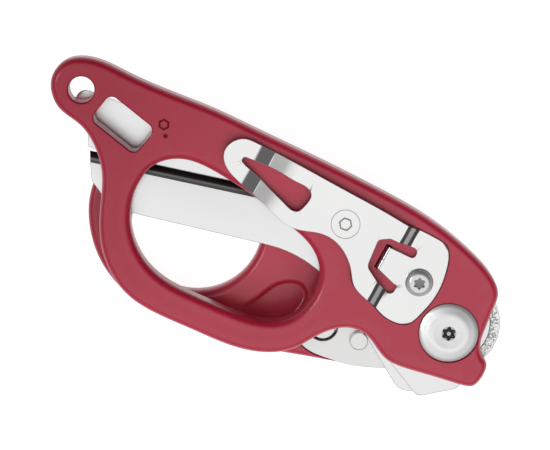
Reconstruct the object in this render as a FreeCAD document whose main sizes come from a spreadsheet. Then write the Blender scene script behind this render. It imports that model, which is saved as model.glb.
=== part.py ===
import FreeCAD, Part
import math
import os

import Sketcher
from FreeCAD import Vector

# Folding trauma shears, folded shut and lying on the back of the rear handle.
# The layers are stacked along +Z: rear handle, rear blade, front blade, front handle, pocket clip.
# Every outline is drawn about the pivot; +X points from the handles to the pivot head, +Y to the spine.
# Each sub-part's placement then moves the pivot to its place beside the origin.

DOC = FreeCAD.newDocument("folding_shears")

# ---------------------------------------------------------------- driving dimensions, in millimetres

SIZES = {
    "pivot_x": 50.05,
    "pivot_y": 8.66,
    "rear_handle_thick": 6.2,
    "front_handle_thick": 6.0,
    "blade_thick": 2.0,
    "blade_gap": 0.1,
    "washer_thick": 0.3,
    "liner_thick": 1.0,
    "handle_round": 1.8,
    "inner_edge_round": 0.5,
    "loop_round": 2.0,
    "thumb_hole_radius": 16.0,
    "thumb_round": 2.2,
    "lanyard_radius": 3.1,
    "lanyard_round": 0.6,
    "window_round": 0.5,
    "window_corner": 1.8,
    "web_depth": 2.4,
    "web_round": 1.1,
    "web_floor_round": 0.8,
    "clip_thick": 1.2,
    "clip_recess": 0.9,
    "clip_lift": 2.3,
    "clip_pocket_depth": 3.7,
    "clip_strip_width": 60.0,
    "clip_clearance": 10.0,
    "tongue_bend": 1.2,
    "clip_screw_head": 3.4,
    "clip_screw_rim": 0.35,
    "clip_screw_rise": 1.6,
    "clip_screw_flat": 1.95,
    "clip_screw_recess": 1.45,
    "clip_screw_recess_depth": 1.2,
    "clip_screw_foot": 0.3,
    "clip_screw_shank": 1.5,
    "clip_nut_radius": 2.5,
    "clip_nut_length": 2.2,
    "shaft_radius": 3.0,
    "running_gap": 0.05,
    "head_radius": 7.1,
    "head_recess": 7.45,
    "head_flat": 3.9,
    "head_rise": 0.8,
    "head_rim": 0.7,
    "head_edge": 0.15,
    "head_dish_edge": 0.45,
    "head_dish_depth": 0.12,
    "shaft_chamfer": 0.4,
    "shaft_foot": 0.5,
    "driver_radius": 1.75,
    "driver_pin": 0.5,
    "driver_depth": 1.8,
    "nut_recess_depth": 1.2,
    "nut_barrel": 4.2,
    "nut_flange": 6.6,
    "nut_sink": 0.2,
    "flange_thick": 1.35,
    "washer_radius": 5.8,
    "tang_radius": 11.7,
    "bevel_width": 2.5,
    "bevel_depth": 1.7,
    "lock_pin_radius": 1.5,
    "lock_travel": 2.1,
    "bar_thick": 1.2,
    "bar_half_width": 2.0,
    "channel_gap": 0.1,
    "front_button_radius": 2.2,
    "front_boss_radius": 2.9,
    "rear_button_radius": 3.1,
    "rear_boss_radius": 3.9,
    "rear_button_hole": 3.75,
    "front_button_hole": 2.35,
    "button_wall": 0.6,
    "button_proud": 0.1,
    "button_crown": 1.1,
    "front_stop_radius": 1.6,
    "rear_stop_radius": 2.2,
    "liner_screw_head": 2.1,
    "liner_screw_shank": 1.1,
    "liner_screw_length": 3.2,
    "liner_screw_recess": 1.0,
    "liner_screw_recess_depth": 0.4,
    "front_liner_gap": 0.15,
    "rear_liner_gap": 0.35,
    "barrel_gap": 0.1,
    "rear_spring_seat": 1.1,
    "spring_cover": 0.9,
    "spring_wire": 0.2,
    "spring_radius": 1.2,
    "spring_turns": 5.5,
}

S = SIZES
S["rear_blade_base"] = S["rear_handle_thick"] + S["washer_thick"]
S["front_blade_base"] = S["rear_blade_base"] + S["blade_thick"] + S["blade_gap"]
S["front_handle_base"] = S["front_blade_base"] + S["blade_thick"] + S["washer_thick"]
S["front_face"] = S["front_handle_base"] + S["front_handle_thick"]
S["clip_base"] = S["front_face"] - S["clip_recess"]
S["rear_liner_base"] = S["rear_handle_thick"] - S["liner_thick"]
S["front_liner_top"] = S["front_handle_base"] + S["liner_thick"]
S["front_washer_base"] = S["front_handle_base"] - S["washer_thick"]
S["bore_radius"] = S["shaft_radius"] + S["running_gap"]
S["barrel_bore"] = S["nut_barrel"] + S["running_gap"]
S["barrel_top"] = S["rear_handle_thick"] - S["barrel_gap"]
S["flange_seat"] = S["nut_flange"] + S["running_gap"]
S["lock_hole_radius"] = S["lock_pin_radius"] + S["channel_gap"]
# the lock bars are drawn pressed in, clear of the blades, and move lock_travel towards them to lock
S["rear_bar_top"] = S["rear_liner_base"] - S["running_gap"] - S["lock_travel"]
S["rear_bar_base"] = S["rear_bar_top"] - S["bar_thick"]
S["front_bar_base"] = S["front_liner_top"] + S["running_gap"] + S["lock_travel"]
S["front_bar_top"] = S["front_bar_base"] + S["bar_thick"]
S["front_spring_seat"] = S["front_face"] - S["spring_cover"]

SHEET = DOC.addObject("Spreadsheet::Sheet", "Sizes")
for row, (alias, value) in enumerate(SIZES.items(), start=1):
    SHEET.set(f"A{row}", alias)
    SHEET.set(f"B{row}", f"{value:.4f}")
    SHEET.setAlias(f"B{row}", alias)
DOC.recompute()

# ---------------------------------------------------------------- places, measured from the pivot

LANYARD = (-105.6, 0.5)
WINDOW_CENTRE = (-92.95, -1.0)
WINDOW_SIZE = (13.5, 7.7)
WINDOW_TURN = -5.5
THUMB_CENTRE = (-64.0, -13.8)
CLIP_SCREW = (-13.0, 6.4)
# each lock bar carries its release button at one end and its pin, 8.8 from the pivot, at the other
FRONT_LOCK = {"button": (-27.8, -12.6), "pin": (-8.4, 2.6)}
REAR_LOCK = {"button": (-24.6, -17.3), "pin": (-7.2, -5.05)}
FRONT_STOP = (-22.95, -10.35)
REAR_STOP = (-15.45, -15.2)
FRONT_LINER_SCREWS = [(-29.5, 8.5), (0.0, 9.4)]
REAR_LINER_SCREWS = [(-23.0, -5.5), (-3.5, 9.4)]
TANG_CENTRE = (0.5, 1.5)
FRONT_OPEN_TURN = 180.0
REAR_OPEN_TURN = 132.0

FRONT_OUTLINE = [
    (-113.3, 1.0), (-111.7, 5.2), (-107.9, 7.8), (-98.6, 9.6), (-86.1, 11.8), (-77.0, 13.7), (-68.0, 15.0),
    (-50.0, 17.5), (-34.0, 19.4), (-18.5, 20.3), (-5.4, 18.9), (1.4, 16.9), (4.7, 14.4), (5.9, 10.5),
    (7.1, 5.3), (8.3, 1.6), (10.2, -0.3), (12.1, -1.3), (13.0, -3.2), (13.15, -6.0), (12.6, -7.8), (10.9, -8.9),
    (7.0, -10.1), (-0.7, -12.4), (-4.9, -13.6), (-8.3, -14.0), (-12.0, -13.0), (-16.2, -11.65), (-20.2, -12.35),
    (-23.5, -15.0), (-26.0, -18.8), (-28.6, -23.9), (-32.8, -28.0), (-39.6, -31.3), (-51.7, -33.8), (-62.0, -35.4),
    (-68.8, -35.4), (-76.2, -32.7), (-81.7, -28.2), (-86.4, -21.2), (-90.4, -14.2), (-95.7, -9.3),
    (-101.6, -6.9), (-107.6, -6.3), (-111.8, -3.4),
]
FINGER_LOOP = [
    (-82.1, -8.9), (-80.4, -3.7), (-76.4, -0.3), (-71.1, 1.2), (-64.0, 1.6), (-56.0, 1.5), (-49.0, 0.6),
    (-42.9, 0.0), (-37.7, -1.7), (-34.0, -5.0), (-32.2, -10.1), (-32.6, -15.8), (-35.2, -20.1),
    (-39.8, -23.0), (-46.5, -24.9), (-55.0, -26.4), (-63.5, -27.3), (-70.0, -26.2), (-75.7, -22.9),
    (-79.7, -18.2), (-81.7, -13.4),
]
REAR_OUTLINE = [
    (-91.0, -18.0), (-88.5, -24.6), (-84.8, -29.4), (-79.8, -33.5), (-73.0, -36.5), (-64.0, -37.6),
    (-54.0, -35.9), (-45.0, -34.2), (-36.5, -31.6), (-28.8, -28.4), (-21.5, -25.2), (-14.2, -21.8),
    (-8.8, -17.9), (-3.6, -14.4), (3.5, -11.9), (9.2, -6.8), (11.3, 0.0), (9.3, 6.8), (3.0, 11.4), (-6.0, 13.6),
    (-20.0, 15.2), (-40.0, 14.2), (-58.0, 12.3), (-71.0, 9.0), (-80.5, 3.4), (-86.8, -4.0), (-90.2, -11.0),
]
WEB_OUTLINE = [
    (-47.0, -27.2), (-44.4, -25.4), (-42.4, -22.2), (-41.1, -18.4), (-39.7, -15.0), (-37.4, -12.7),
    (-34.8, -11.8), (-32.4, -12.9), (-31.4, -16.2), (-32.1, -20.8), (-34.8, -25.2), (-39.2, -28.5),
    (-43.9, -30.2), (-47.1, -30.4), (-48.3, -28.8),
]
FRONT_LINER = [
    (-33.0, 9.0), (-29.5, 13.2), (-20.0, 15.6), (-9.0, 15.0), (0.6, 13.2), (3.9, 9.6), (5.2, 4.0),
    (8.6, -1.8), (9.6, -5.2), (6.2, -7.9), (-1.0, -10.2), (-7.0, -11.4), (-14.0, -9.4), (-20.2, -10.4),
    (-23.8, -13.2), (-26.2, -15.8), (-29.4, -15.4), (-30.9, -12.4), (-30.2, -7.0), (-31.8, 0.0),
]
REAR_LINER = [
    (-29.6, -20.3), (-28.4, -23.0), (-25.4, -24.2), (-21.7, -24.0), (-18.0, -23.1), (-14.4, -22.0),
    (-9.2, -19.5), (-4.6, -16.8), (1.5, -13.2), (7.2, -9.2), (10.3, -3.4), (10.2, 3.4), (6.2, 8.6),
    (-2.0, 12.2), (-13.0, 12.6), (-23.0, 8.6), (-28.4, 0.0), (-29.8, -10.0),
]
CLIP_OUTLINE = [
    (-69.6, 8.2), (-68.9, 10.7), (-67.2, 12.4), (-64.6, 13.1), (-60.6, 13.5), (-54.3, 14.2), (-41.4, 15.3),
    (-27.1, 16.4), (-22.0, 16.7), (-18.6, 17.2), (-15.4, 17.5), (-12.6, 17.3), (-10.9, 15.8), (-9.2, 12.3),
    (-8.2, 8.8), (-7.85, 4.4), (-8.35, 0.1), (-9.8, -3.75), (-12.5, -4.95), (-15.9, -5.05), (-18.8, -4.3),
    (-22.4, -3.6), (-25.8, -2.6), (-28.6, 0.2), (-31.8, 2.6), (-35.7, 3.9), (-40.0, 3.4), (-43.9, 1.6),
    (-47.5, 0.8), (-52.1, 1.5), (-57.5, 2.3), (-63.4, 3.3), (-66.9, 4.4), (-68.8, 6.0),
]
CLIP_SEAT = [
    (-28.2, 15.2), (-22.2, 17.0), (-15.4, 17.8), (-12.4, 17.6), (-10.6, 16.0), (-8.9, 12.4), (-7.9, 8.8),
    (-7.55, 4.4), (-8.05, 0.0), (-9.6, -4.0), (-12.5, -5.25), (-15.9, -5.35), (-18.8, -4.6), (-22.4, -3.9),
    (-26.0, -2.9), (-28.6, 0.0), (-29.0, 7.5),
]
CLIP_WINDOW = [
    (-64.5, 9.0), (-61.7, 9.55), (-58.4, 10.1), (-55.0, 10.5), (-51.5, 10.7), (-48.0, 10.9), (-46.6, 10.1),
    (-46.2, 8.5), (-46.4, 6.6), (-47.1, 4.9), (-48.3, 4.4), (-50.6, 4.7), (-54.0, 5.35), (-57.4, 6.1),
    (-61.0, 6.85), (-63.8, 7.3), (-65.0, 8.1),
]
# slot in the clip with rounded corners, and the tongue left standing in it: x, y and corner radius
CLIP_SLOT = [
    (-17.4, 12.9, 1.2), (-25.1, 11.7, 1.6), (-27.3, 9.9, 1.2), (-25.9, 3.0, 2.0), (-22.0, 1.3, 4.0), (-16.7, -0.4, 1.2),
    (-16.8, 2.6, 0.9), (-18.4, 3.2, 0), (-18.4, 10.2, 0), (-17.3, 10.5, 0.9),
]
CLIP_TONGUE = [(-17.6, 2.7, 0), (-17.6, 10.32, 0), (-24.35, 9.42, 0), (-23.85, 3.9, 0)]
CLIP_LEG = [(-24.35, 9.42, 0), (-23.85, 3.9, 0), (-22.85, 3.708, 0), (-23.35, 9.553, 0)]
LEG_POCKET = [(-24.6, 9.9, 0.4), (-24.0, 3.4, 0.4), (-22.4, 3.4, 0.4), (-22.9, 9.9, 0.4)]

# ---------------------------------------------------------------- outlines


def vec(point):
    return Vector(point[0], point[1], 0)


def turned(point, degrees):
    """The point turned about the pivot."""
    angle = math.radians(degrees)
    x, y = point
    return (x * math.cos(angle) - y * math.sin(angle), x * math.sin(angle) + y * math.cos(angle))


def smooth(points):
    """One closed curve through the points."""
    curve = Part.BSplineCurve()
    curve.interpolate([vec(p) for p in points], PeriodicFlag=True)
    return [curve]


def grown(points, gap):
    """The points of a clockwise or anticlockwise outline, each moved out by the gap."""
    area = sum(a[0] * b[1] - b[0] * a[1] for a, b in zip(points, points[1:] + points[:1]))
    side = 1 if area > 0 else -1
    moved = []
    for before, point, after in zip(points[-1:] + points[:-1], points, points[1:] + points[:1]):
        along = (vec(after) - vec(before)).normalize()
        moved.append((point[0] + side * gap * along.y, point[1] - side * gap * along.x))
    return moved


def rounded(corners):
    """Straight edges between (x, y, radius) corners, with an arc of that radius in each corner."""
    starts, ends, arcs = [], [], []
    for before, corner, after in zip(corners[-1:] + corners[:-1], corners, corners[1:] + corners[:1]):
        point, radius = vec(corner), corner[2]
        back = (vec(before) - point).normalize()
        ahead = (vec(after) - point).normalize()
        half = back.getAngle(ahead) / 2
        reach = radius / math.tan(half)
        starts.append(point + back * reach)
        ends.append(point + ahead * reach)
        middle = point + (back + ahead).normalize() * (radius / math.sin(half) - radius)
        arcs.append(Part.Arc(starts[-1], middle, ends[-1]) if radius else None)
    edges = []
    for index, arc in enumerate(arcs):
        if arc:
            edges.append(arc)
        edges.append(Part.LineSegment(ends[index], starts[(index + 1) % len(starts)]))
    return edges


def slot(first, second, radius):
    """A slot with round ends about the two points."""
    along = (vec(second) - vec(first)).normalize()
    across = Vector(-along.y, along.x, 0) * radius
    a, b = vec(first), vec(second)
    return [
        Part.Arc(a + across, a - along * radius, a - across),
        Part.LineSegment(a - across, b - across),
        Part.Arc(b - across, b + along * radius, b + across),
        Part.LineSegment(b + across, a + across),
    ]


def six_lobes(centre, radius):
    """The wavy outline of a six-lobed driver recess, its lobes reaching to the radius."""
    points = []
    for step in range(24):
        angle = math.tau * step / 24
        reach = radius * (0.86 + 0.14 * math.cos(6 * angle))
        points.append((centre[0] + reach * math.cos(angle), centre[1] + reach * math.sin(angle)))
    return smooth(points)


def rectangle(centre, size, degrees, radius):
    """A rounded rectangle turned about its own centre."""
    corners = []
    for sx, sy in ((1, 1), (-1, 1), (-1, -1), (1, -1)):
        x, y = turned((sx * size[0] / 2, sy * size[1] / 2), degrees)
        corners.append((centre[0] + x, centre[1] + y, radius))
    return rounded(corners)


# ---------------------------------------------------------------- building blocks


def new_body(label):
    body = DOC.addObject("PartDesign::Body", label)
    body.Label = label
    body.setExpression("Placement.Base.x", "Sizes.pivot_x")
    body.setExpression("Placement.Base.y", "Sizes.pivot_y")
    return body


def new_sketch(body, height, plane="XY_Plane"):
    """An empty sketch on one of the body's own planes, at a height named in the sheet."""
    sketch = body.newObject("Sketcher::SketchObject", body.Label + "_sketch")
    plane_object = next(f for f in body.Origin.OriginFeatures if f.Role == plane)
    sketch.AttachmentSupport = [(plane_object, "")]
    sketch.MapMode = "FlatFace"
    if height:
        sketch.setExpression("AttachmentOffset.Base.z", height)
    return sketch


def draw(sketch, edges):
    for edge in edges:
        sketch.addGeometry(edge, False)


def draw_circle(sketch, centre, radius_name):
    """A circle whose radius follows a cell of the sheet."""
    index = sketch.addGeometry(Part.Circle(vec(centre), Vector(0, 0, 1), S[radius_name]), False)
    constraint = sketch.addConstraint(Sketcher.Constraint("Radius", index, S[radius_name]))
    sketch.setExpression(f"Constraints[{constraint}]", f"Sizes.{radius_name}")


def pad(body, sketch, length):
    feature = body.newObject("PartDesign::Pad", body.Label + "_pad")
    feature.Profile = sketch
    feature.setExpression("Length", length)
    DOC.recompute()
    return feature


def cut(body, sketch, length, upwards):
    """A pocket from the sketch, which must take material away."""
    before = body.Shape.Volume
    feature = body.newObject("PartDesign::Pocket", body.Label + "_pocket")
    feature.Profile = sketch
    feature.setExpression("Length", length)
    feature.Reversed = upwards
    DOC.recompute()
    if body.Shape.Volume > before - 1e-3:
        raise RuntimeError(f"a pocket of {body.Label} cuts nothing")
    return feature


def plate(label, edges, base, thick):
    body = new_body(label)
    sketch = new_sketch(body, base)
    draw(sketch, edges)
    pad(body, sketch, thick)
    return body


def disc(label, radius_name, base, thick, centre=(0, 0)):
    body = new_body(label)
    add_disc(body, radius_name, base, thick, centre)
    return body


def add_disc(body, radius_name, base, thick, centre=(0, 0)):
    sketch = new_sketch(body, base)
    draw_circle(sketch, centre, radius_name)
    pad(body, sketch, thick)


def bore(body, centres, radius_name, base, depth):
    """Round holes from a height upwards."""
    sketch = new_sketch(body, base)
    for centre in centres:
        draw_circle(sketch, centre, radius_name)
    cut(body, sketch, depth, True)


def hollow(body, edges, base, depth):
    """A pocket of any outline from a height upwards."""
    sketch = new_sketch(body, base)
    draw(sketch, edges)
    cut(body, sketch, depth, True)


def round_edges(body, chosen, radius_name, kind="PartDesign::Fillet"):
    """Round the edges that the test picks."""
    base = body.Tip
    names = [f"Edge{i}" for i, edge in enumerate(base.Shape.Edges, start=1) if chosen(edge)]
    if not names:
        raise RuntimeError(f"{body.Label}: no edge to round")
    feature = body.newObject(kind, body.Label + "_round")
    feature.Base = (base, names)
    feature.setExpression("Radius", f"Sizes.{radius_name}")
    DOC.recompute()
    return feature


def level_edge(height, near=None, reach=0.3):
    """A test for edges lying at a height, and passing near a point if one is given."""

    def test(edge):
        box = edge.BoundBox
        if abs(box.ZMin - height) > 1e-4 or abs(box.ZMax - height) > 1e-4:
            return False
        if near is None:
            return True
        spot = Part.Vertex(near[0], near[1], height)
        return edge.distToShape(spot)[0] < reach

    return test


# ---------------------------------------------------------------- handles


def make_front_handle():
    body = plate("front_handle", smooth(FRONT_OUTLINE), "Sizes.front_handle_base", "Sizes.front_handle_thick")
    base, face = S["front_handle_base"], S["front_face"]
    hollow(body, smooth(FINGER_LOOP), "Sizes.front_handle_base", "Sizes.front_handle_thick")
    window = rectangle(WINDOW_CENTRE, WINDOW_SIZE, WINDOW_TURN, S["window_corner"])
    hollow(body, window, "Sizes.front_handle_base", "Sizes.front_handle_thick")
    bore(body, [LANYARD], "lanyard_radius", "Sizes.front_handle_base", "Sizes.front_handle_thick")
    round_edges(body, level_edge(face, FRONT_OUTLINE[9]), "handle_round")
    round_edges(body, level_edge(face, FINGER_LOOP[4]), "loop_round")
    round_edges(body, level_edge(base, FRONT_OUTLINE[9]), "inner_edge_round")
    round_edges(body, level_edge(base, FINGER_LOOP[4]), "inner_edge_round")
    rim = (LANYARD[0] + S["lanyard_radius"], LANYARD[1])
    round_edges(body, level_edge(face, rim), "lanyard_round")

    def in_window(edge):
        return level_edge(face)(edge) and abs(edge.BoundBox.Center.x - WINDOW_CENTRE[0]) < WINDOW_SIZE[0] * 0.6

    round_edges(body, in_window, "window_round")

    # seats on the outer face: pivot head, pocket clip, and the clip's bent tongue
    bore(body, [(0, 0)], "head_recess", "Sizes.clip_base", "Sizes.clip_recess")
    hollow(body, smooth(CLIP_SEAT), "Sizes.clip_base", "Sizes.clip_recess")
    hollow(body, rounded(LEG_POCKET), "Sizes.front_face - Sizes.clip_pocket_depth", "Sizes.clip_pocket_depth")

    # inner face: liner seat, lock bar channel with its spring seat, bores and screw holes
    liner_seat = smooth(grown(FRONT_LINER, S["front_liner_gap"]))
    hollow(body, liner_seat, "Sizes.front_handle_base", "Sizes.liner_thick")
    lock_channel(body, FRONT_LOCK, "front_boss_radius", "Sizes.front_liner_top",
                 "Sizes.front_bar_top + Sizes.channel_gap - Sizes.front_liner_top")
    bore(body, [FRONT_LOCK["button"]], "lock_pin_radius", "Sizes.front_liner_top",
         "Sizes.front_spring_seat - Sizes.front_liner_top")
    bore(body, [(0, 0)], "shaft_radius", "Sizes.front_handle_base", "Sizes.front_handle_thick")
    bore(body, [CLIP_SCREW], "clip_screw_shank", "Sizes.front_handle_base", "Sizes.front_handle_thick")
    bore(body, [CLIP_SCREW], "clip_nut_radius", "Sizes.front_liner_top", "Sizes.clip_nut_length")
    bore(body, FRONT_LINER_SCREWS, "liner_screw_shank", "Sizes.front_handle_base",
         "Sizes.liner_screw_length")
    return body


def lock_channel(body, lock, boss, base, depth):
    """The channel that a lock bar moves in, wider about its button."""
    gap = S["channel_gap"]
    hollow(body, slot(lock["button"], lock["pin"], S["bar_half_width"] + gap), base, depth)
    sketch = new_sketch(body, base)
    sketch.addGeometry(Part.Circle(vec(lock["button"]), Vector(0, 0, 1), S[boss] + gap), False)
    cut(body, sketch, depth, True)


def make_rear_handle():
    body = plate("rear_handle", smooth(REAR_OUTLINE), "", "Sizes.rear_handle_thick")
    top = S["rear_handle_thick"]
    bore(body, [THUMB_CENTRE], "thumb_hole_radius", "", "Sizes.rear_handle_thick")
    hollow(body, smooth(WEB_OUTLINE), "Sizes.rear_handle_thick - Sizes.web_depth", "Sizes.web_depth")
    rim = (THUMB_CENTRE[0] + S["thumb_hole_radius"], THUMB_CENTRE[1])
    round_edges(body, level_edge(top, rim), "thumb_round")
    round_edges(body, level_edge(0, rim), "thumb_round")
    round_edges(body, level_edge(0, REAR_OUTLINE[5]), "handle_round")
    round_edges(body, level_edge(top, REAR_OUTLINE[5]), "handle_round")
    round_edges(body, level_edge(top, WEB_OUTLINE[2]), "web_round")
    round_edges(body, level_edge(top - S["web_depth"], WEB_OUTLINE[2]), "web_floor_round")

    # inner face: liner seat and lock bar channel; outer face: seat of the pivot nut
    liner_seat = smooth(grown(REAR_LINER, S["rear_liner_gap"]))
    hollow(body, liner_seat, "Sizes.rear_liner_base", "Sizes.liner_thick")
    channel_depth = "Sizes.rear_liner_base - Sizes.rear_bar_base + Sizes.channel_gap"
    lock_channel(body, REAR_LOCK, "rear_boss_radius", "Sizes.rear_bar_base - Sizes.channel_gap", channel_depth)
    bore(body, [REAR_LOCK["button"]], "rear_stop_radius", "Sizes.rear_spring_seat",
         "Sizes.rear_liner_base - Sizes.rear_spring_seat")
    bore(body, [(0, 0)], "barrel_bore", "", "Sizes.rear_handle_thick")
    bore(body, [(0, 0)], "flange_seat", "", "Sizes.nut_sink + Sizes.flange_thick + Sizes.running_gap")
    bore(body, REAR_LINER_SCREWS, "liner_screw_shank",
         "Sizes.rear_handle_thick - Sizes.liner_screw_length", "Sizes.liner_screw_length")
    return body


def make_liner(label, outline, base, lock, button_hole, stop, stop_hole, screws, screw_face_up):
    """A steel liner plate with countersunk screw holes and holes for the lock and the stop pin."""
    body = plate(label, smooth(outline), base, "Sizes.liner_thick")
    bore(body, [(0, 0)], "barrel_bore", base, "Sizes.liner_thick")
    bore(body, [lock["pin"]], "lock_hole_radius", base, "Sizes.liner_thick")
    bore(body, [lock["button"]], button_hole, base, "Sizes.liner_thick")
    bore(body, [stop], stop_hole, base, "Sizes.liner_thick")
    head_base = base + " + Sizes.liner_thick / 2" if screw_face_up else base
    bore(body, screws, "liner_screw_head", head_base, "Sizes.liner_thick / 2")
    bore(body, screws, "liner_screw_shank", base, "Sizes.liner_thick")
    return body


# ---------------------------------------------------------------- blades

FRONT_BLADE = [
    (-95.86, -11.9, 0), (-91.6, -17.5, 1.4), (-83.9, -20.5, 6.0), (-39.1, -4.03, 29.0), (-20.8, -8.9, 12.0),
    (-6.0, -15.1, 6.0), (3.75, -18.35, 2.2), (10.8, -11.3, 3.0), (11.0, -2.0, 0.5), (0.0, 12.0, 4.0),
    (-20.0, 13.4, 20.0), (-35.4, 12.0, 3.0), (-39.4, 10.22, 0),
]
REAR_BLADE = [
    (-109.3, -1.16, 2.5), (-98.5, -8.65, 1.0), (-96.9, -11.36, 0), (-38.0, -1.65, 0), (0.0, -20.27, 4.5),
    (10.3, -11.2, 3.0), (10.9, 0.0, 3.0), (2.0, 12.2, 4.0), (-28.0, 12.6, 30.0), (-94.0, 2.4, 20.0),
]
CUTTING_HEEL = {"front": (-39.4, 10.22), "rear": (-38.0, -1.65)}
CUTTING_TIP = {"front": (-95.86, -11.9), "rear": (-96.9, -11.36)}


def bevel(body, height, tip, heel):
    """Grind the cutting edge between tip and heel, on the face at this height."""
    middle = Part.Vertex((tip[0] + heel[0]) / 2, (tip[1] + heel[1]) / 2, height)
    base = body.Tip
    lines = [(edge.distToShape(middle)[0], f"Edge{i}") for i, edge in enumerate(base.Shape.Edges, start=1)]
    feature = body.newObject("PartDesign::Chamfer", body.Label + "_bevel")
    feature.Base = (base, [min(lines)[1]])
    feature.ChamferType = "Two distances"
    feature.FlipDirection = True
    feature.setExpression("Size", "Sizes.bevel_width")
    feature.setExpression("Size2", "Sizes.bevel_depth")
    DOC.recompute()


def make_front_blade():
    base = "Sizes.front_blade_base"
    body = plate("front_blade", rounded(FRONT_BLADE), base, "Sizes.blade_thick")
    add_disc(body, "tang_radius", base, "Sizes.blade_thick", TANG_CENTRE)
    bevel(body, S["front_blade_base"] + S["blade_thick"], CUTTING_TIP["front"], CUTTING_HEEL["front"])
    pin = FRONT_LOCK["pin"]
    bore(body, [(0, 0)], "bore_radius", base, "Sizes.blade_thick")
    bore(body, [pin, turned(pin, FRONT_OPEN_TURN)], "lock_hole_radius", base, "Sizes.blade_thick")
    return body


def make_rear_blade():
    base = "Sizes.rear_blade_base"
    body = plate("rear_blade", rounded(REAR_BLADE), base, "Sizes.blade_thick")
    bevel(body, S["rear_blade_base"], CUTTING_TIP["rear"], CUTTING_HEEL["rear"])
    pin = REAR_LOCK["pin"]
    bore(body, [(0, 0)], "bore_radius", base, "Sizes.blade_thick")
    bore(body, [pin, turned(pin, REAR_OPEN_TURN)], "lock_hole_radius", base, "Sizes.blade_thick")
    return body


# ---------------------------------------------------------------- pocket clip

# along the clip: x, share of the lift above the seat, and the bend's radius
CLIP_PROFILE = [
    (-6.0, 0.0, 0), (-18.6, 0.0, 0.7), (-21.4, 1.0, 0.7), (-50.5, 1.0, 42.0), (-57.7, 0.43, 0.5),
    (-61.4, 0.85, 6.0), (-71.5, 1.1, 0),
]
CLIP_TURN = 5.1
CLIP_FRAME = {"centre": (-38.0, 5.0), "size": (100.0, 90.0)}


def make_pocket_clip():
    thick = S["clip_thick"]
    lower = [(x, S["clip_base"] + share * S["clip_lift"], r) for x, share, r in CLIP_PROFILE]
    upper = [(x, z + thick, r) for x, z, r in reversed(lower)]
    body = new_body("pocket_clip")
    side = new_sketch(body, "", "XZ_Plane")
    side.AttachmentOffset = FreeCAD.Placement(Vector(), FreeCAD.Rotation(Vector(0, 1, 0), CLIP_TURN))
    draw(side, rounded(lower + upper))
    strip = pad(body, side, "Sizes.clip_strip_width")
    strip.Midplane = True
    DOC.recompute()

    # trim the strip to its outline, then open it up
    frame = rectangle(CLIP_FRAME["centre"], CLIP_FRAME["size"], 0, 0)
    trim = new_sketch(body, "Sizes.clip_base")
    draw(trim, frame + smooth(CLIP_OUTLINE))
    cut(body, trim, "Sizes.clip_clearance", True)
    hollow(body, smooth(CLIP_WINDOW), "Sizes.clip_base", "Sizes.clip_clearance")
    hollow(body, rounded(CLIP_SLOT), "Sizes.clip_base", "Sizes.clip_clearance")

    # the tongue inside the slot stays on the seat and ends in a leg bent down into the handle
    inside = new_sketch(body, "Sizes.clip_base")
    draw(inside, rounded(CLIP_TONGUE))
    pad(body, inside, "Sizes.clip_thick")
    leg = new_sketch(body, "Sizes.front_face - Sizes.clip_pocket_depth + Sizes.channel_gap")
    draw(leg, rounded(CLIP_LEG))
    pad(body, leg, "Sizes.clip_pocket_depth - Sizes.clip_recess")
    bend_spot = ((CLIP_LEG[0][0] + CLIP_LEG[1][0]) / 2, (CLIP_LEG[0][1] + CLIP_LEG[1][1]) / 2)
    round_edges(body, level_edge(S["clip_base"] + thick, bend_spot), "tongue_bend")
    bore(body, [CLIP_SCREW], "clip_screw_shank", "Sizes.clip_base", "Sizes.clip_thick")
    return body


# ---------------------------------------------------------------- pivot, screws and washers


def revolve(label, corners):
    """A turned piece's body and its sketch, from (radius, height) corners."""
    body = new_body(label)
    sketch = new_sketch(body, "", "XZ_Plane")
    points = [Vector(radius, height, 0) for radius, height in corners]
    for start, end in zip(points, points[1:] + points[:1]):
        sketch.addGeometry(Part.LineSegment(start, end), False)
    return body, sketch


def turn(body, sketch):
    feature = body.newObject("PartDesign::Revolution", body.Label + "_turning")
    feature.Profile = sketch
    feature.ReferenceAxis = (sketch, ["V_Axis"])
    feature.Angle = 360
    DOC.recompute()


def make_pivot_bolt():
    """Conical tamper-proof head on a plain shaft; a pin stands in the middle of its driver recess."""
    seat, top = S["clip_base"], S["front_face"] + S["head_rise"]
    foot = S["nut_sink"] + S["flange_thick"] + S["shaft_foot"]
    shaft, chamfer = S["shaft_radius"], S["shaft_chamfer"]
    body, sketch = revolve("pivot_bolt", [
        (0, foot), (shaft - chamfer, foot), (shaft, foot + chamfer), (shaft, seat),
        (S["head_radius"], seat), (S["head_radius"], seat + S["head_rim"]),
        (S["head_flat"] + S["head_edge"], top), (S["head_flat"] - S["head_edge"], top),
        (S["head_flat"] - S["head_dish_edge"], top - S["head_dish_depth"]), (0, top - S["head_dish_depth"]),
    ])
    turn(body, sketch)
    recess = new_sketch(body, "Sizes.front_face + Sizes.head_rise - Sizes.driver_depth")
    draw(recess, six_lobes((0, 0), S["driver_radius"]))
    draw_circle(recess, (0, 0), "driver_pin")
    cut(body, recess, "Sizes.driver_depth", True)
    return body


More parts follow.
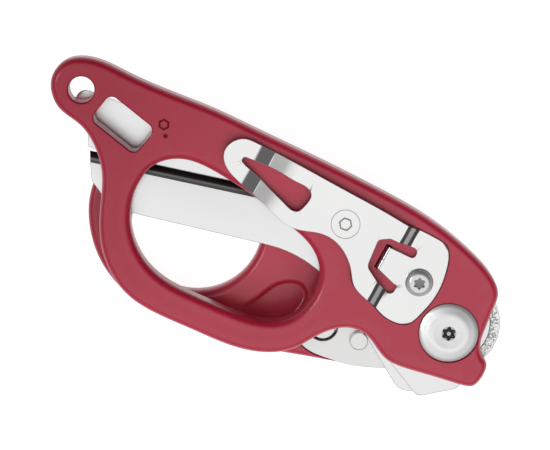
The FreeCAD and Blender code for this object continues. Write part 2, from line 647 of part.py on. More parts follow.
def make_pivot_nut():
    """Flanged sleeve nut, flush with the back of the rear handle."""
    sink, flange = S["nut_sink"], S["nut_sink"] + S["flange_thick"]
    rim, chamfer = S["nut_flange"], S["shaft_chamfer"]
    body, sketch = revolve("pivot_nut", [
        (0, sink), (rim - chamfer, sink), (rim, sink + chamfer), (rim, flange),
        (S["nut_barrel"], flange), (S["nut_barrel"], S["barrel_top"]), (0, S["barrel_top"]),
    ])
    turn(body, sketch)
    bore(body, [(0, 0)], "shaft_radius", "Sizes.nut_sink + Sizes.flange_thick + Sizes.shaft_foot",
         "Sizes.barrel_top")
    recess = new_sketch(body, "Sizes.nut_sink")
    draw(recess, six_lobes((0, 0), S["driver_radius"]))
    cut(body, recess, "Sizes.nut_recess_depth", True)
    return body


def make_washer(label, base):
    body = disc(label, "washer_radius", base, "Sizes.washer_thick")
    bore(body, [(0, 0)], "bore_radius", base, "Sizes.washer_thick")
    return body


def make_clip_screw():
    """Domed button-head screw that holds the clip to its nut."""
    seat = S["clip_base"] + S["clip_thick"]
    foot = S["front_liner_top"] + S["clip_screw_foot"]
    head, shank, flat = S["clip_screw_head"], S["clip_screw_shank"], S["clip_screw_flat"]
    rim, top = seat + S["clip_screw_rim"], seat + S["clip_screw_rise"]
    shoulder = (flat + 0.6 * (head - flat), rim + 0.68 * (top - rim))
    body = new_body("clip_screw")
    body.setExpression("Placement.Base.x", f"Sizes.pivot_x + {CLIP_SCREW[0]}")
    body.setExpression("Placement.Base.y", f"Sizes.pivot_y + {CLIP_SCREW[1]}")
    sketch = new_sketch(body, "", "XZ_Plane")
    sketch.addGeometry(Part.Arc(vec((head, rim)), vec(shoulder), vec((flat, top))), False)
    corners = [(flat, top), (0, top), (0, foot), (shank, foot), (shank, seat), (head, seat), (head, rim)]
    for start, end in zip(corners, corners[1:]):
        sketch.addGeometry(Part.LineSegment(vec(start), vec(end)), False)
    turn(body, sketch)
    recess = new_sketch(body, "Sizes.clip_base + Sizes.clip_thick + Sizes.clip_screw_rise"
                              " - Sizes.clip_screw_recess_depth")
    draw(recess, six_lobes((0, 0), S["clip_screw_recess"]))
    cut(body, recess, "Sizes.clip_screw_recess_depth", True)
    return body


def make_clip_nut():
    body = disc("clip_nut", "clip_nut_radius", "Sizes.front_liner_top", "Sizes.clip_nut_length", CLIP_SCREW)
    bore(body, [CLIP_SCREW], "clip_screw_shank", "Sizes.front_liner_top", "Sizes.clip_nut_length")
    return body


def make_liner_screws(label, places, head_base, shank_base, shank_length, recess_base):
    """Flat-headed screws that hold a liner plate, one solid each."""
    body = new_body(label)
    heads = new_sketch(body, head_base)
    shanks = new_sketch(body, shank_base)
    for place in places:
        draw_circle(heads, place, "liner_screw_head")
        draw_circle(shanks, place, "liner_screw_shank")
    pad(body, heads, "Sizes.liner_thick / 2")
    pad(body, shanks, shank_length)
    recess = new_sketch(body, recess_base)
    for place in places:
        draw(recess, six_lobes(place, S["liner_screw_recess"]))
    cut(body, recess, "Sizes.liner_screw_recess_depth", True)
    return body


# ---------------------------------------------------------------- locks


def make_lock_bar(label, lock, boss, button_radius, base):
    """Flat bar that carries the lock pin at one end and the release button at the other."""
    body = plate(label, slot(lock["button"], lock["pin"], S["bar_half_width"]), base, "Sizes.bar_thick")
    add_disc(body, boss, base, "Sizes.bar_thick", lock["button"])
    bore(body, [lock["button"]], button_radius, base, "Sizes.bar_thick")
    bore(body, [lock["pin"]], "lock_pin_radius", base, "Sizes.bar_thick")
    return body


def make_release_button(label, button, radius_name, base, length, cup_base, cup_depth):
    """Round button, hollowed as a cup for the spring behind it."""
    body = disc(label, radius_name, base, length, button)
    sketch = new_sketch(body, cup_base)
    cup = Part.Circle(vec(button), Vector(0, 0, 1), S[radius_name] - S["button_wall"])
    sketch.addGeometry(cup, False)
    cut(body, sketch, cup_depth, True)
    return body


def make_lock_spring(label, button, base, top):
    """Compression spring between the handle and the button's cup."""
    wire, radius = S["spring_wire"], S["spring_radius"]
    height = top - base - 2 * wire
    path = Part.makeHelix(height / S["spring_turns"], height, radius)
    section = Part.Circle(Vector(radius, 0, 0), Vector(0, 1, 0), wire)
    spring = DOC.addObject("Part::Feature", label)
    spring.Label = label
    spring.Shape = Part.Wire(path).makePipeShell([Part.Wire([section.toShape()])], True, True)
    spring.Placement.Base = Vector(S["pivot_x"] + button[0], S["pivot_y"] + button[1], base + wire)
    return spring


# ---------------------------------------------------------------- assembly


def make_front_side():
    screws_base = "Sizes.front_handle_base"
    return [
        make_front_handle(),
        make_liner("front_liner", FRONT_LINER, screws_base, FRONT_LOCK, "front_button_hole", FRONT_STOP,
                   "front_stop_radius", FRONT_LINER_SCREWS, False),
        make_liner_screws("front_liner_screws", FRONT_LINER_SCREWS, screws_base, screws_base,
                          "Sizes.liner_screw_length", screws_base),
        disc("front_stop_pin", "front_stop_radius", "Sizes.front_blade_base + Sizes.channel_gap",
             "Sizes.front_liner_top - Sizes.front_blade_base - Sizes.channel_gap", FRONT_STOP),
        make_lock_bar("front_lock_bar", FRONT_LOCK, "front_boss_radius", "front_button_radius",
                      "Sizes.front_bar_base"),
        disc("front_lock_pin", "lock_pin_radius", "Sizes.front_handle_base",
             "Sizes.front_bar_top - Sizes.front_handle_base", FRONT_LOCK["pin"]),
        make_release_button("front_release_button", FRONT_LOCK["button"], "front_button_radius",
                            "Sizes.front_handle_base - Sizes.button_proud",
                            "Sizes.front_bar_top - Sizes.front_handle_base + Sizes.button_proud",
                            "Sizes.front_handle_base + Sizes.button_crown", "Sizes.front_handle_thick"),
        make_lock_spring("front_lock_spring", FRONT_LOCK["button"],
                         S["front_handle_base"] + S["button_crown"], S["front_spring_seat"]),
        make_pocket_clip(),
        make_clip_screw(),
        make_clip_nut(),
        make_washer("front_washer", "Sizes.front_washer_base"),
    ]


def make_rear_side():
    top = "Sizes.rear_handle_thick"
    base = "Sizes.rear_liner_base"
    return [
        make_rear_handle(),
        make_liner("rear_liner", REAR_LINER, base, REAR_LOCK, "rear_button_hole", REAR_STOP,
                   "rear_stop_radius", REAR_LINER_SCREWS, True),
        make_liner_screws("rear_liner_screws", REAR_LINER_SCREWS, base + " + Sizes.liner_thick / 2",
                          top + " - Sizes.liner_screw_length", "Sizes.liner_screw_length",
                          top + " - Sizes.liner_screw_recess_depth"),
        disc("rear_stop_pin", "rear_stop_radius", base,
             "Sizes.front_blade_base - Sizes.rear_liner_base - 2 * Sizes.channel_gap", REAR_STOP),
        make_lock_bar("rear_lock_bar", REAR_LOCK, "rear_boss_radius", "rear_button_radius",
                      "Sizes.rear_bar_base"),
        disc("rear_lock_pin", "lock_pin_radius", "Sizes.rear_bar_base", top + " - Sizes.rear_bar_base",
             REAR_LOCK["pin"]),
        make_release_button("rear_release_button", REAR_LOCK["button"], "rear_button_radius",
                            "Sizes.rear_bar_base", top + " + Sizes.button_proud - Sizes.rear_bar_base",
                            "Sizes.rear_bar_base",
                            top + " - Sizes.rear_bar_base - Sizes.button_crown"),
        make_lock_spring("rear_lock_spring", REAR_LOCK["button"], S["rear_spring_seat"],
                         S["rear_handle_thick"] - S["button_crown"]),
        make_washer("rear_washer", top),
    ]


def export(sub_parts):
    """Check every object and every shape, then write one STEP file for each sub-part."""
    DOC.recompute()
    for item in DOC.Objects:
        if "Invalid" in item.State or "Error" in item.State:
            raise RuntimeError(f"{item.Label}: {item.State}")
    os.makedirs("parts", exist_ok=True)
    for item in sub_parts:
        if item.Shape.isNull() or not item.Shape.isValid() or not item.Shape.Solids:
            raise RuntimeError(f"{item.Label}: bad shape")
        item.Shape.exportStep(f"parts/{item.Label}.step")


def main():
    sub_parts = make_front_side() + make_rear_side()
    sub_parts += [make_front_blade(), make_rear_blade(), make_pivot_bolt(), make_pivot_nut()]
    export(sub_parts)
    return sub_parts


if __name__ == "__main__":
    main()
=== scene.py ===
"""Folding rescue shears, closed: finishes, small surface details, studio and camera around the frame."""

import math

import bmesh
import bpy
from mathutils import Matrix, Vector


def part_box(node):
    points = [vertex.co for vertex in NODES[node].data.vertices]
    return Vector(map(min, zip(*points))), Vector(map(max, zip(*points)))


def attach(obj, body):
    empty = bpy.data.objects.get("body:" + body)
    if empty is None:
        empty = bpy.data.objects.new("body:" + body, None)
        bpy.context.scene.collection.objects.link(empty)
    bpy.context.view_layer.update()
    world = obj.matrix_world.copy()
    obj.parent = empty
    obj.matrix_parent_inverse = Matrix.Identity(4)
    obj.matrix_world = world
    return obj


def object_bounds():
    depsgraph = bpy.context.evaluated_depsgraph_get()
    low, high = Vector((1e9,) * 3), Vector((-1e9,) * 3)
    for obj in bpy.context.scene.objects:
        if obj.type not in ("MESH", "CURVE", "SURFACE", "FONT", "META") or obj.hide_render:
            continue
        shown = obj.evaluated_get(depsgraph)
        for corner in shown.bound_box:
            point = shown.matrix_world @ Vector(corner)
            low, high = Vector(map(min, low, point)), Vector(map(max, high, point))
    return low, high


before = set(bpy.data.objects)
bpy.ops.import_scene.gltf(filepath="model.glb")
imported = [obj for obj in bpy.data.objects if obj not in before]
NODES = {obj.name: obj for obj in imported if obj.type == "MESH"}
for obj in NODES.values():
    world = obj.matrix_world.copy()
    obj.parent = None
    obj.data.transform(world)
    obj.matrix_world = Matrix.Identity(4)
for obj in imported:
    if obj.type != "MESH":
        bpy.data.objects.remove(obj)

CAD_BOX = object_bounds()
MM = 0.001

# ---------------------------------------------------------------- places taken from the frame

PIVOT_LOW, PIVOT_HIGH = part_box("pivot_bolt")
PIVOT = (PIVOT_LOW + PIVOT_HIGH) / 2
HANDLE_LOW, HANDLE_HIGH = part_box("front_handle")
CLIP_LOW, CLIP_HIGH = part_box("pocket_clip")
BLADE_LOW, BLADE_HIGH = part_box("front_blade")

# the front blade's round tang, with its knurled band behind a thin groove; both are painted on, the groove
# as painted shade and the teeth as painted light and shade
TANG = PIVOT + Vector((0.5, 1.5, 0)) * MM
TANG_RADIUS = 11.7 * MM
GROOVE_START = 0.775 * TANG_RADIUS
GROOVE_END = 0.815 * TANG_RADIUS
KNURL_END = 0.975 * TANG_RADIUS
KNURL_BLUR = 0.015 * TANG_RADIUS
KNURL_HALF_ANGLE = 1.15

# the clip's strip lies a little turned from X, and a short ramp lifts it off its seat; the painted glint and
# painted ramp reflection are placed on that ramp
CLIP_TURN = math.radians(5.1)
CLIP_WAY = (math.cos(CLIP_TURN), math.sin(CLIP_TURN), 0)
RAMP_MIDDLE = -20.0 * MM
RAMP_REACH = 2.2 * MM


def near_pivot(x, y, z):
    """A point from millimetres beside the pivot, at a height in metres."""
    return Vector((PIVOT.x + x * MM, PIVOT.y + y * MM, z))


# ---------------------------------------------------------------- finishes


class Finish:
    """A node material being put together; places are in metres on the piece itself."""

    def __init__(self, name):
        self.material = bpy.data.materials.new(name)
        self.material.use_nodes = True
        self.tree = self.material.node_tree
        self.shader = self.tree.nodes["Principled BSDF"]
        coordinates = self.tree.nodes.new("ShaderNodeTexCoord")
        self.place = coordinates.outputs["Object"]
        self.normal = coordinates.outputs["Normal"]

    def node(self, kind, inputs=None, **settings):
        """Add a node; inputs are numbers, colours or other nodes' outputs."""
        made = self.tree.nodes.new("ShaderNode" + kind)
        for key, value in settings.items():
            setattr(made, key, value)
        for key, value in (inputs or {}).items():
            if isinstance(value, bpy.types.NodeSocket):
                self.tree.links.new(value, made.inputs[key])
            else:
                made.inputs[key].default_value = value
        return made

    def math(self, operation, first, second=0.0):
        return self.node("Math", {0: first, 1: second}, operation=operation).outputs[0]

    def noise(self, scale, detail=3.0, place=None):
        """Even noise between 0 and 1, with this many grains to the metre."""
        inputs = {"Vector": place or self.place, "Scale": scale, "Detail": detail}
        return self.node("TexNoise", inputs).outputs["Fac"]

    def stretched(self, degrees, along, across):
        """Places turned on the face and squeezed, so that a pattern runs along one direction."""
        turn = self.node("Mapping", {"Vector": self.place, "Rotation": (0, 0, math.radians(-degrees))})
        squeeze = (1 / along, 1 / across, 1 / across)
        return self.node("Mapping", {"Vector": turn.outputs[0], "Scale": squeeze}).outputs[0]

    def between(self, value, low, high):
        """The value from 0..1 as a value from low to high."""
        inputs = {"Value": value, "To Min": low, "To Max": high}
        return self.node("MapRange", inputs).outputs["Result"]

    def mask(self, value, start, end):
        """0 up to start and 1 from end on, with a soft step between them."""
        inputs = {"Value": value, "From Min": start, "From Max": end}
        return self.node("MapRange", inputs, interpolation_type="SMOOTHSTEP").outputs["Result"]

    def mix(self, share, first, second):
        made = self.node("Mix", data_type="RGBA")
        for index, value in ((0, share), (6, first), (7, second)):
            if isinstance(value, bpy.types.NodeSocket):
                self.tree.links.new(value, made.inputs[index])
            else:
                made.inputs[index].default_value = value
        return made.outputs[2]

    def bump(self, height, depth, strength=1.0, under=None):
        inputs = {"Height": height, "Distance": depth, "Strength": strength}
        if under:
            inputs["Normal"] = under
        return self.node("Bump", inputs).outputs["Normal"]

    def axis(self, vector, name):
        return self.node("SeparateXYZ", {"Vector": vector}).outputs[name]

    def from_centre(self, centre):
        """Distance from the upright line through a point, and the place seen from that line."""
        inputs = {"Vector": self.place, "Location": (-centre.x, -centre.y, 0)}
        offset = self.node("Mapping", inputs).outputs[0]
        flat = self.node("VectorMath", {0: offset, 1: (1, 1, 0)}, operation="MULTIPLY").outputs[0]
        return self.node("VectorMath", {0: flat}, operation="LENGTH").outputs["Value"], flat

    def edges(self, width):
        """1 along sharp edges and 0 on open faces."""
        wide = self.node("Bevel", {"Radius": width}, samples=4).outputs[0]
        true = self.node("NewGeometry").outputs["True Normal"]
        alike = self.node("VectorMath", {0: wide, 1: true}, operation="DOT_PRODUCT").outputs["Value"]
        return self.mask(alike, 0.995, 0.93)

    def finish(self, **inputs):
        """Set the shader's inputs, named with underscores for spaces."""
        for key, value in inputs.items():
            socket = self.shader.inputs[key.replace("_", " ")]
            if isinstance(value, bpy.types.NodeSocket):
                self.tree.links.new(value, socket)
            else:
                socket.default_value = value
        return self.material


def shade(level):
    return (level, level, level, 1.0)


def warm(level):
    """Grey with a trace less blue."""
    return (level, level, level * 0.995, 1.0)


def red_coating():
    """Satin powder coat: fine orange peel, a slight mottle, deeper towards the lanyard end."""
    coat = Finish("red_coating")
    mottle = coat.noise(90, 4.0)
    along = coat.mask(coat.axis(coat.place, "X"), CAD_BOX[0].x, 0.0)
    deep = coat.mix(mottle, (0.29, 0.002, 0.022, 1), (0.34, 0.003, 0.028, 1))
    light = coat.mix(mottle, (0.40, 0.004, 0.033, 1), (0.44, 0.006, 0.040, 1))
    peel = coat.noise(2600, 2.0)
    speckle = coat.noise(9000, 1.0)
    normal = coat.bump(peel, 0.03 * MM, 0.5)
    normal = coat.bump(speckle, 0.01 * MM, 0.4, normal)
    return coat.finish(
        Base_Color=coat.mix(along, deep, light), Roughness=coat.between(mottle, 0.36, 0.46), Normal=normal,
        Specular_IOR_Level=coat.between(along, 0.35, 0.6), Coat_Weight=0.35, Coat_Roughness=0.15,
    )


def painted_bend_reflections(steel, lines, level, colour):
    """Painted reflections where the sheet is bent: sloped faces painted darker with painted dark stripes,
    and one painted glint along the clip's ramp.
    """
    facing = steel.math("ABSOLUTE", steel.axis(steel.normal, "Z"))
    # painted reflection: streaks and dark shade on faces that tilt away from the flat
    reflection_stripes = steel.mix(steel.mask(lines, 0.42, 0.58), shade(level * 0.3), shade(level * 0.85))
    slope_reflection = steel.mix(steel.mask(facing, 0.95, 0.92), shade(level * 0.14), reflection_stripes)
    spoke = steel.from_centre(PIVOT)[1]
    along = steel.node("VectorMath", {0: spoke, 1: CLIP_WAY}, operation="DOT_PRODUCT").outputs["Value"]
    from_ramp = steel.math("ABSOLUTE", steel.math("SUBTRACT", along, RAMP_MIDDLE))
    # painted glint: bright down the middle of the ramp, painted dark towards its bends
    glint = steel.mix(steel.mask(from_ramp, 0.35 * MM, 0.8 * MM), shade(level * 0.95), shade(level * 0.16))
    slope_reflection = steel.mix(steel.mask(from_ramp, RAMP_REACH, RAMP_REACH - 0.3 * MM), slope_reflection, glint)
    return steel.mix(steel.mask(facing, 0.997, 0.975), colour, slope_reflection)


def brushed_steel(name, level, roughness, degrees):
    """Steel with fine grinding lines along one direction and faint clouding, with painted reflections on its
    bends and a painted dark outline along its edges.
    """
    steel = Finish(name)
    lines = steel.noise(1.0, 4.0, steel.stretched(degrees, 9.0 * MM, 0.12 * MM))
    cloud = steel.noise(60, 2.0)
    tone = steel.math("ADD", steel.math("MULTIPLY", lines, 0.35), steel.math("MULTIPLY", cloud, 0.65))
    colour = steel.mix(tone, warm(level * 0.93), warm(level))
    colour = painted_bend_reflections(steel, lines, level, colour)
    # painted shade: a dark outline along sharp edges
    colour = steel.mix(steel.edges(0.2 * MM), colour, shade(level * 0.25))
    rough = steel.between(tone, roughness * 0.8, roughness * 1.25)
    return steel.finish(
        Base_Color=colour, Metallic=1.0, Roughness=rough, Normal=steel.bump(lines, 0.004 * MM, 0.5),
        Anisotropic=0.3,
    )


def knurled_band(steel, colour):
    """A knurled band behind a thin groove, only on the side of the tang that stands out from the handles,
    drawn in colour alone: painted light and shade speckle for the teeth and a painted shade line for the
    groove.
    """
    radius, spoke = steel.from_centre(TANG)
    angle = steel.math("ARCTAN2", steel.axis(spoke, "Y"), steel.axis(spoke, "X"))
    outside = steel.mask(radius, GROOVE_START, GROOVE_START + KNURL_BLUR)
    groove_shade_mask = steel.math("MULTIPLY", outside, steel.mask(radius, GROOVE_END, GROOVE_END - KNURL_BLUR))
    band = steel.math("MULTIPLY", outside, steel.mask(radius, KNURL_END, KNURL_END - KNURL_BLUR))
    side = steel.mask(steel.math("ABSOLUTE", angle), KNURL_HALF_ANGLE, KNURL_HALF_ANGLE - 0.1)
    band = steel.math("MULTIPLY", band, side)
    # painted light and shade standing in for the knurl's teeth
    teeth_light_and_shade = steel.mask(steel.noise(2200, 1.0), 0.42, 0.58)
    colour = steel.mix(band, colour, steel.mix(teeth_light_and_shade, shade(0.32), shade(0.86)))
    # painted shade: a dark line for the groove
    return steel.mix(steel.math("MULTIPLY", groove_shade_mask, band), colour, shade(0.15))


def blade_steel(name, degrees, bevel_height, face_up):
    """Blade steel: satin flats, a ground cutting bevel painted nearly black as a painted reflection of the
    dark room, a painted dark outline along sharp edges and a knurled band round the tang.
    """
    steel = Finish(name)
    lines = steel.noise(1.0, 4.0, steel.stretched(degrees + 90, 6.0 * MM, 0.1 * MM))
    cloud = steel.noise(45, 2.0)
    flat = steel.mix(cloud, shade(0.80), shade(0.86))
    facing = steel.math("ABSOLUTE", steel.axis(steel.normal, "Z"))
    height = steel.axis(steel.place, "Z")
    inside = steel.mask(height, bevel_height - 0.02 * MM, bevel_height - 0.06 * MM)
    if not face_up:
        inside = steel.mask(height, bevel_height + 0.02 * MM, bevel_height + 0.06 * MM)
    sloped = steel.math("MULTIPLY", steel.mask(facing, 0.97, 0.93), steel.mask(facing, 0.3, 0.5))
    ground = steel.math("MULTIPLY", sloped, inside)
    # painted reflection: the ground bevel nearly black, mirroring a dark room
    colour = steel.mix(ground, flat, steel.mix(lines, shade(0.012), shade(0.035)))
    # painted shade: a dark outline along sharp edges
    colour = steel.mix(steel.edges(0.3 * MM), colour, shade(0.08))
    colour = knurled_band(steel, colour)
    rough = steel.between(ground, 0.27, 0.42)
    return steel.finish(
        Base_Color=colour, Metallic=1.0, Roughness=rough, Normal=steel.bump(lines, 0.004 * MM, 0.5),
        Anisotropic=0.25,
    )


def turned_steel(name, centre, level, roughness, recess_radius, recess_top, recess_shade_level):
    """Lathe-turned steel: rings about the centre, with painted shade inside the driver recess and a painted
    dark outline along sharp edges.
    """
    steel = Finish(name)
    radius = steel.from_centre(centre)[0]
    rings = steel.node("TexNoise", {"W": steel.math("DIVIDE", radius, 0.09 * MM), "Scale": 1.0},
                       noise_dimensions="1D").outputs["Fac"]
    colour = steel.mix(rings, shade(level * 0.9), shade(level))
    height = steel.axis(steel.place, "Z")
    below = steel.mask(height, recess_top - 0.05 * MM, recess_top - 0.2 * MM)
    within = steel.mask(radius, recess_radius + 0.1 * MM, recess_radius - 0.02 * MM)
    recess_shade = steel.math("MULTIPLY", below, within)
    # painted shade: the driver recess darkened where shade falls in it
    colour = steel.mix(recess_shade, colour, shade(recess_shade_level))
    # painted shade: a dark outline along sharp edges
    colour = steel.mix(steel.edges(0.1 * MM), colour, shade(level * 0.45))
    tangent = steel.node("Tangent", direction_type="RADIAL", axis="Z").outputs[0]
    return steel.finish(
        Base_Color=colour, Metallic=0.7, Roughness=roughness, Anisotropic=0.75, Tangent=tangent,
        Normal=steel.bump(rings, 0.003 * MM, 0.6),
    )


def plain_metal(name, colour, roughness):
    """Drawn or ground metal with a fine even grain and a painted dark outline along sharp edges."""
    metal = Finish(name)
    grain = metal.noise(4000, 3.0)
    dark = tuple(c * 0.85 for c in colour[:3]) + (1.0,)
    face = metal.mix(grain, dark, colour)
    # painted shade: sharp edges outlined nearly black
    return metal.finish(
        Base_Color=metal.mix(metal.edges(0.4 * MM), face, shade(0.06)), Metallic=1.0,
        Roughness=metal.between(grain, roughness * 0.8, roughness * 1.2),
        Normal=metal.bump(grain, 0.004 * MM, 0.4),
    )


def dark_inlay():
    """Deep dull red of the small mark on the handle."""
    inlay = Finish("dark_inlay")
    grain = inlay.noise(3000, 2.0)
    return inlay.finish(
        Base_Color=inlay.mix(grain, (0.10, 0.001, 0.006, 1), (0.14, 0.002, 0.009, 1)), Roughness=0.7,
        Specular_IOR_Level=0.2, Normal=inlay.bump(grain, 0.01 * MM, 0.5),
    )


def etched_line():
    """Fine grey of a line etched on steel."""
    etch = Finish("etched_line")
    grain = etch.noise(6000, 2.0)
    return etch.finish(
        Base_Color=etch.mix(grain, shade(0.22), shade(0.34)), Metallic=0.6, Roughness=0.6,
        Normal=etch.bump(grain, 0.005 * MM, 0.5),
    )


def paint(material, *names):
    for name in names:
        slots = NODES[name].data.materials
        slots.clear()
        slots.append(material)


# directions of the grinding lines and cutting edges, in degrees from X
CLIP_ALONG = 3.5
FRONT_EDGE_ALONG = 21.0
REAR_EDGE_ALONG = 10.0


def finish_nodes():
    """Give every CAD node its material."""
    paint(red_coating(), "front_handle", "rear_handle")
    paint(brushed_steel("clip_steel", 0.88, 0.22, CLIP_ALONG), "pocket_clip")
    paint(blade_steel("front_blade_steel", FRONT_EDGE_ALONG, BLADE_HIGH.z, True), "front_blade")
    paint(blade_steel("rear_blade_steel", REAR_EDGE_ALONG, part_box("rear_blade")[0].z, False), "rear_blade")
    paint(brushed_steel("liner_steel", 0.80, 0.3, 30.0), "front_liner", "rear_liner",
          "front_lock_bar", "rear_lock_bar")
    paint(turned_steel("pivot_steel", PIVOT, 0.86, 0.24, 1.75 * MM, PIVOT_HIGH.z, 0.02), "pivot_bolt")
    screw_low, screw_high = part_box("clip_screw")
    screw_centre = (screw_low + screw_high) / 2
    paint(turned_steel("screw_steel", screw_centre, 0.72, 0.16, 1.5 * MM, screw_high.z, 0.22), "clip_screw")
    paint(plain_metal("nut_steel", (0.62, 0.62, 0.61, 1), 0.32), "pivot_nut", "clip_nut",
          "front_liner_screws", "rear_liner_screws")
    paint(plain_metal("pin_steel", (0.82, 0.82, 0.81, 1), 0.22), "front_stop_pin", "rear_stop_pin",
          "front_lock_pin", "rear_lock_pin", "front_release_button", "rear_release_button")
    paint(plain_metal("spring_steel", (0.55, 0.55, 0.56, 1), 0.3), "front_lock_spring", "rear_lock_spring")
    paint(plain_metal("washer_bronze", (0.62, 0.38, 0.16, 1), 0.35), "front_washer", "rear_washer")


# ---------------------------------------------------------------- rounded edges


SHARP_ANGLE = math.radians(35)
TURNED_HEADS = ("pivot_bolt", "clip_screw")


def soften(name, width):
    """Close the node's faces, break its sharp edges and shade it smoothly, with flat faces kept flat."""
    piece = NODES[name]
    weld = piece.modifiers.new("weld", "WELD")
    weld.merge_threshold = 0.001 * MM
    bevel = piece.modifiers.new("broken_edges", "BEVEL")
    bevel.width = width
    bevel.segments = 2
    bevel.limit_method = "ANGLE"
    bevel.angle_limit = SHARP_ANGLE
    bevel.use_clamp_overlap = True
    bevel.harden_normals = False
    if name not in TURNED_HEADS:
        even = piece.modifiers.new("even_normals", "WEIGHTED_NORMAL")
        even.weight = 100
    for polygon in piece.data.polygons:
        polygon.use_smooth = True


# widths of the broken edges in millimetres, where they differ from the plain one
PLAIN_EDGE = 0.05
EDGE_WIDTHS = {
    "pocket_clip": 0.12, "front_blade": 0.06, "rear_blade": 0.06, "pivot_bolt": 0.06,
    "front_release_button": 0.12, "rear_release_button": 0.15, "front_stop_pin": 0.1, "rear_stop_pin": 0.12,
    "pivot_nut": 0.08,
}


# ---------------------------------------------------------------- small marks


def ring(mesh, centre, outer, inner, sides, height, turn=0.0):
    """A flat ring standing on its lower face; sides 6 makes a hexagon."""
    levels = []
    for radius in (outer, inner):
        for lift in (0.0, height):
            row = []
            for step in range(sides):
                angle = math.tau * step / sides + turn
                across = Vector((math.cos(angle), math.sin(angle), 0)) * radius
                row.append(mesh.verts.new(centre + across + Vector((0, 0, lift))))
            levels.append(row)
    outer_low, outer_high, inner_low, inner_high = levels
    for low, high in ((outer_low, outer_high), (outer_high, inner_high), (inner_high, inner_low),
                      (inner_low, outer_low)):
        for step in range(sides):
            after = (step + 1) % sides
            mesh.faces.new((low[step], low[after], high[after], high[step]))


def tile(mesh, centre, radius, sides, height, turn=0.0):
    """A flat solid tile with this many corners."""
    rows = []
    for lift in (0.0, height):
        row = []
        for step in range(sides):
            angle = math.tau * step / sides + turn
            across = Vector((math.cos(angle), math.sin(angle), 0)) * radius
            row.append(mesh.verts.new(centre + across + Vector((0, 0, lift))))
        rows.append(row)
    low, high = rows
    mesh.faces.new(high)
    mesh.faces.new(list(reversed(low)))
    for step in range(sides):
        after = (step + 1) % sides
        mesh.faces.new((low[step], low[after], high[after], high[step]))


def piece_from(mesh, name, material, body):
    """Turn a bmesh into a piece that rides on a body."""
    bmesh.ops.recalc_face_normals(mesh, faces=mesh.faces)
    data = bpy.data.meshes.new(name)
    mesh.to_mesh(data)
    mesh.free()
    data.materials.append(material)
    piece = bpy.data.objects.new(name, data)
    bpy.context.scene.collection.objects.link(piece)
    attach(piece, body)
    return piece


MARK_HEIGHT = 0.03 * MM


def make_valve_mark():
    """A nut outline with a dot below it: a plain sign for the valve key window."""
    mesh = bmesh.new()
    face = HANDLE_HIGH.z
    ring(mesh, near_pivot(-84.8, 4.4, face), 1.45 * MM, 0.9 * MM, 6, MARK_HEIGHT)
    tile(mesh, near_pivot(-83.0, 2.3, face), 0.55 * MM, 24, MARK_HEIGHT)
    piece_from(mesh, "valve_mark", dark_inlay(), "front_handle")


def make_clip_mark():
    """A thin circle round a plain hexagon, etched on the clip."""
    mesh = bmesh.new()
    centre = near_pivot(-35.9, 8.7, CLIP_HIGH.z)
    ring(mesh, centre, 3.5 * MM, 3.38 * MM, 72, MARK_HEIGHT)
    ring(mesh, centre, 1.7 * MM, 1.3 * MM, 6, MARK_HEIGHT, math.radians(15))
    piece_from(mesh, "clip_mark", etched_line(), "front_handle")


# ---------------------------------------------------------------- studio and camera

IMAGE_RIGHT = Vector((0.8323, 0.5544, 0))
IMAGE_UP = Vector((-0.5544, 0.8323, 0))
CAMERA_LEAN = math.radians(10.5)
CAMERA_DISTANCE = 0.55
CAMERA_LENS = 150.8
MIDDLE_OF_VIEW = near_pivot(-49.49, -1.15, HANDLE_HIGH.z)


def make_camera():
    """Long lens nearly overhead, leaning a little towards the top of the picture."""
    data = bpy.data.cameras.new("camera")
    data.sensor_width = 36
    data.lens = CAMERA_LENS
    data.clip_start = 0.01
    data.clip_end = 10
    camera = bpy.data.objects.new("camera", data)
    bpy.context.scene.collection.objects.link(camera)
    back = IMAGE_UP * math.sin(CAMERA_LEAN) + Vector((0, 0, 1)) * math.cos(CAMERA_LEAN)
    up = back.cross(IMAGE_RIGHT)
    axes = Matrix((IMAGE_RIGHT, up, back)).transposed()
    camera.matrix_world = Matrix.Translation(MIDDLE_OF_VIEW + back * CAMERA_DISTANCE) @ axes.to_4x4()
    bpy.context.scene.camera = camera


def make_floor():
    """A plain pale floor under the object."""
    mesh = bmesh.new()
    bmesh.ops.create_grid(mesh, x_segments=1, y_segments=1, size=3.0)
    data = bpy.data.meshes.new("floor")
    mesh.to_mesh(data)
    mesh.free()
    surface = Finish("floor_paper")
    grain = surface.noise(400, 2.0)
    data.materials.append(surface.finish(
        Base_Color=surface.mix(grain, shade(0.22), shade(0.24)), Roughness=0.9, Specular_IOR_Level=0.1,
        Emission_Color=shade(1.0), Emission_Strength=0.93))
    floor = bpy.data.objects.new("floor", data)
    floor.location.z = CAD_BOX[0].z
    bpy.context.scene.collection.objects.link(floor)


PANEL_LEAN = math.radians(12)
PANEL_WAY = Vector((0, 0, 1)) * math.cos(PANEL_LEAN) - IMAGE_UP * math.sin(PANEL_LEAN)
DARK_SIDE = (IMAGE_UP + IMAGE_RIGHT * 0.6).normalized()


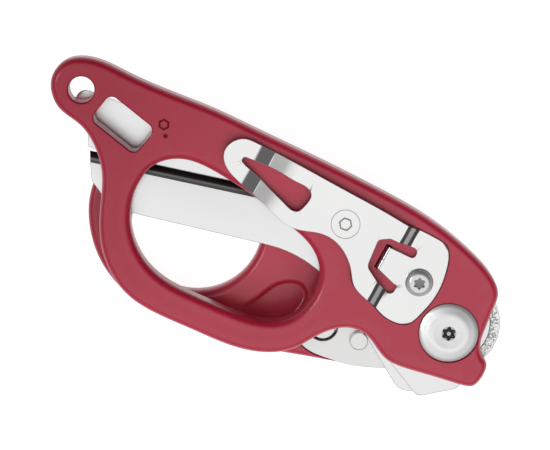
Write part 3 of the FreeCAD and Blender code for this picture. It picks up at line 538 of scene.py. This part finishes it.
def make_world():
    """A bright panel overhead in a grey room that is darkest on one side."""
    world = bpy.data.worlds.new("studio")
    world.use_nodes = True
    bpy.context.scene.world = world
    tree = world.node_tree
    place = tree.nodes.new("ShaderNodeTexCoord").outputs["Generated"]

    def fade(way, start, end, low, high):
        """A soft step in brightness along a way across the room."""
        across = tree.nodes.new("ShaderNodeVectorMath")
        across.operation = "DOT_PRODUCT"
        across.inputs[1].default_value = way
        tree.links.new(place, across.inputs[0])
        step = tree.nodes.new("ShaderNodeMapRange")
        step.interpolation_type = "SMOOTHSTEP"
        tree.links.new(across.outputs["Value"], step.inputs["Value"])
        for name, value in (("From Min", start), ("From Max", end), ("To Min", low), ("To Max", high)):
            step.inputs[name].default_value = value
        return step.outputs["Result"]

    panel = fade(PANEL_WAY, 0.60, 0.88, 0.30, 1.0)
    dark = fade(DARK_SIDE, 0.08, 0.75, 1.0, 0.06)
    product = tree.nodes.new("ShaderNodeMath")
    product.operation = "MULTIPLY"
    tree.links.new(panel, product.inputs[0])
    tree.links.new(dark, product.inputs[1])
    tree.links.new(product.outputs[0], tree.nodes["Background"].inputs["Strength"])
    tree.nodes["Background"].inputs["Color"].default_value = (1, 1, 1, 1)


def make_panel(name, direction, elevation, distance, size, power, shows):
    """A soft square light aimed at the middle of the object."""
    data = bpy.data.lights.new(name, "AREA")
    data.shape = "SQUARE"
    data.size = size
    data.energy = power
    panel = bpy.data.objects.new(name, data)
    bpy.context.scene.collection.objects.link(panel)
    middle = (CAD_BOX[0] + CAD_BOX[1]) / 2
    lift = math.radians(elevation)
    towards = direction.normalized() * math.cos(lift) + Vector((0, 0, 1)) * math.sin(lift)
    panel.location = middle + towards * distance
    panel.rotation_euler = towards.to_track_quat("Z", "Y").to_euler()
    panel.visible_camera = False
    panel.visible_glossy = shows


def make_studio():
    make_world()
    make_floor()
    make_panel("top_panel", IMAGE_RIGHT - IMAGE_UP * 2, 62, 1.2, 1.0, 5.5, False)
    make_panel("left_panel", -IMAGE_RIGHT + IMAGE_UP * 0.2, 54, 1.0, 0.22, 1.3, True)
    bpy.context.scene.view_settings.view_transform = "Standard"


# ---------------------------------------------------------------- making

make_camera()
make_studio()
finish_nodes()
for node_name in NODES:
    soften(node_name, EDGE_WIDTHS.get(node_name, PLAIN_EDGE) * MM)
make_valve_mark()
make_clip_mark()
